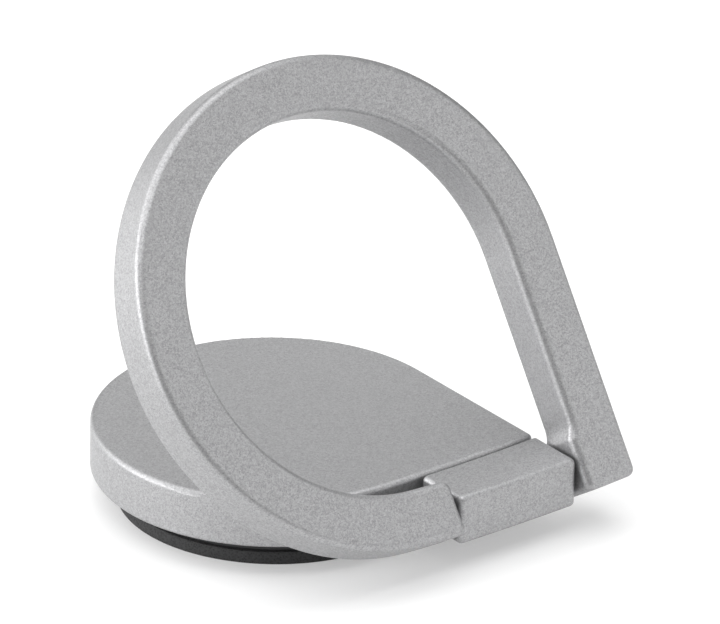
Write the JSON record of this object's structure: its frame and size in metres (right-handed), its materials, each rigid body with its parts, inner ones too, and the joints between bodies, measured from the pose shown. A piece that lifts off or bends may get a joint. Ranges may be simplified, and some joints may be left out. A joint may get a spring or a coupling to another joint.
{
  "type": "phone ring holder",
  "caption": "Stick-on phone ring holder: a drop-shaped plate swivels on a round glued disc, and a drop-shaped finger ring folds flush around it on a friction hinge.",
  "frame": {"origin": "middle of the adhesive pad's glued face, on the swivel axis", "axes": "+Z away from the phone along the swivel axis; +X along the hinge pin towards the square corner of the drop outline; the hinge lies on the -Y side"},
  "size_m": [0.036, 0.0324, 0.0338],
  "materials": {
    "silver_paint": "satin silver paint with fine flakes over moulded plastic",
    "black_plastic": "black moulded plastic",
    "adhesive_foam": "black foam tape",
    "steel": "plain steel",
    "washer_plastic": "natural washer plastic"
  },
  "bodies": {
    "base": {"adhesive_pad": "adhesive_foam", "base_disc": "black_plastic", "swivel_rivet": "steel", "retaining_washer": "steel"},
    "plate": {"carrier": "silver_paint", "top_cover": "silver_paint", "friction_washer": "washer_plastic", "hinge_pin": "steel"},
    "loop": {"ring": "silver_paint"}
  },
  "joints": [
    {"name": "plate_swivel", "type": "hinge", "parent": "base", "child": "plate", "pos_m": [0, 0, 0.00225], "axis": [0, 0, 1], "continuous": true},
    {"name": "ring_hinge", "type": "hinge", "parent": "plate", "child": "loop", "pos_m": [0, -0.01675, 0.00378], "axis": [1, 0, 0], "range_deg": [-56.5, 123.5]}
  ]
}
